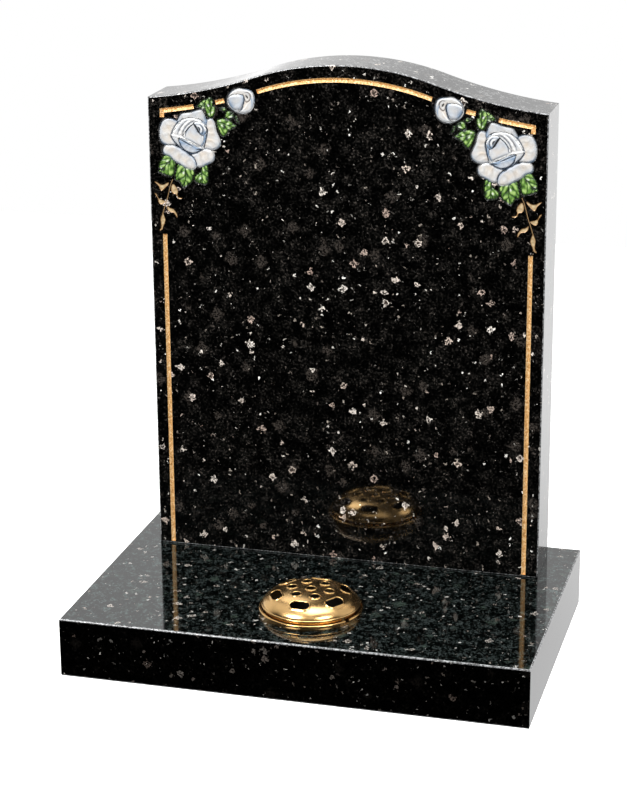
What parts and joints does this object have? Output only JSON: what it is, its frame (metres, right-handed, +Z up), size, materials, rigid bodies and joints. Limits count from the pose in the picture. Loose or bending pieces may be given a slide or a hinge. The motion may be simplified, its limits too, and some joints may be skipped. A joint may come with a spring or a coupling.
{
  "type": "headstone",
  "caption": "Polished granite headstone with an ogee top, carved and painted rose sprays, a gilded border line, and a base with a flower container under a pierced lid.",
  "frame": {"origin": "centre of the base's underside", "axes": "+X to the right as seen from the front, +Y to the back, +Z up; the carved face looks along -Y"},
  "size_m": [0.616, 0.4, 0.7633],
  "materials": {
    "granite": "polished dark pearl granite with pale flakes",
    "container_metal": "gold anodised",
    "lid_metal": "polished gold anodised"
  },
  "bodies": {
    "root": {"headstone_tablet": "granite", "headstone_base": "granite", "flower_container": "container_metal", "flower_lid": "lid_metal"}
  },
  "joints": []
}
